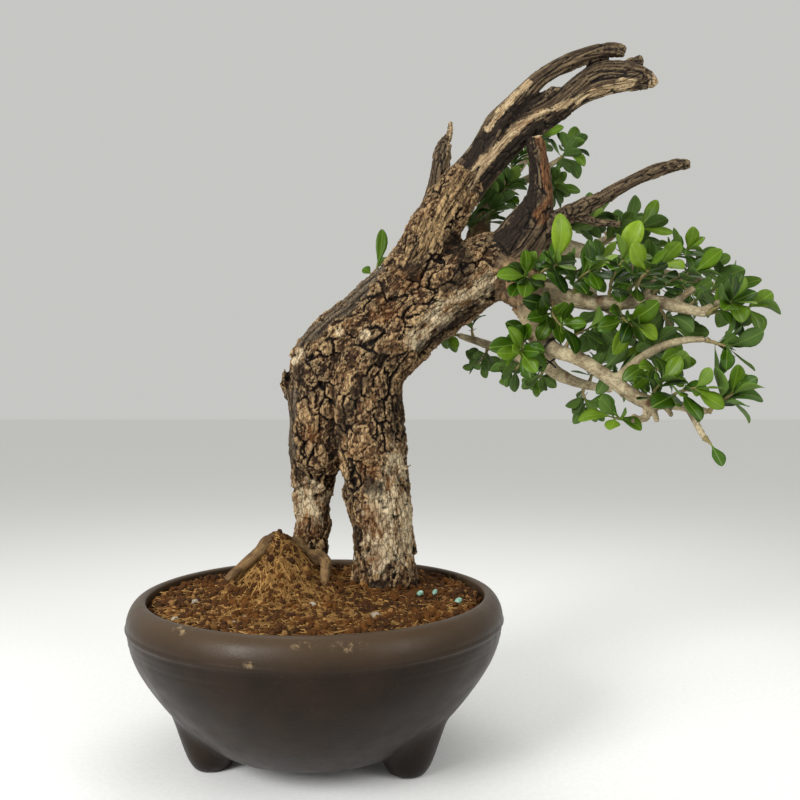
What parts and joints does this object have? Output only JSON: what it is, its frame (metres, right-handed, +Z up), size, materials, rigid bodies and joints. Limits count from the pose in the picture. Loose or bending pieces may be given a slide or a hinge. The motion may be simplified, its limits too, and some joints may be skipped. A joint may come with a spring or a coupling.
{
  "type": "olive bonsai",
  "caption": "Slanting olive bonsai with deadwood and a leafy canopy to one side, in a round brown pot on feet.",
  "frame": {"origin": "under the middle of the whole object's box, on the surface that the pot's feet stand on", "axes": "+Z up, -Y is the front that is looked at, +X the side that the tree leans to"},
  "size_m": [0.372, 0.2256, 0.4308],
  "materials": {
    "stoneware": "satin, unglazed",
    "screen_plastic": "matte",
    "soil": "loose, rough",
    "olive_wood": "rough bark and weathered wood",
    "wire": "dark coated",
    "leaf": "waxy"
  },
  "bodies": {
    "root": {"drain_screen": "screen_plastic", "pot": "stoneware", "soil": "soil", "stem_crown_01": "leaf", "stem_crown_02": "leaf", "stem_crown_03": "leaf", "stem_crown_04": "leaf", "stem_crown_05": "leaf", "stem_crown_06": "leaf", "stem_crown_07": "leaf", "stem_crown_08": "leaf", "stem_crown_09": "leaf", "stem_crown_10": "leaf", "stem_high_01": "leaf", "stem_high_02": "leaf", "stem_high_03": "leaf", "stem_high_04": "leaf", "stem_high_05": "leaf", "stem_high_06": "leaf", "stem_high_07": "leaf", "stem_high_08": "leaf", "stem_high_09": "leaf", "stem_high_10": "leaf", "stem_high_11": "leaf", "stem_high_12": "leaf", "stem_high_13": "leaf", "stem_high_14": "leaf", "stem_left_01": "leaf", "stem_left_02": "leaf", "stem_left_04": "leaf", "stem_left_05": "leaf", "stem_left_06": "leaf", "stem_left_07": "leaf", "stem_left_08": "leaf", "stem_left_09": "leaf", "stem_low_01": "leaf", "stem_low_02": "leaf", "stem_low_03": "leaf", "stem_low_04": "leaf", "stem_low_05": "leaf", "stem_low_06": "leaf", "stem_low_07": "leaf", "stem_low_08": "leaf", "stem_low_09": "leaf", "stem_low_10": "leaf", "stem_low_11": "leaf", "stem_right_01": "leaf", "stem_right_02": "leaf", "stem_right_03": "leaf", "stem_right_04": "leaf", "stem_right_05": "leaf", "stem_right_06": "leaf", "stem_right_07": "leaf", "stem_right_08": "leaf", "stem_right_09": "leaf", "stem_trunk_01": "leaf", "stem_under_01": "leaf", "stem_under_02": "leaf", "training_wire": "wire", "tree_wood": "olive_wood"}
  },
  "joints": []
}
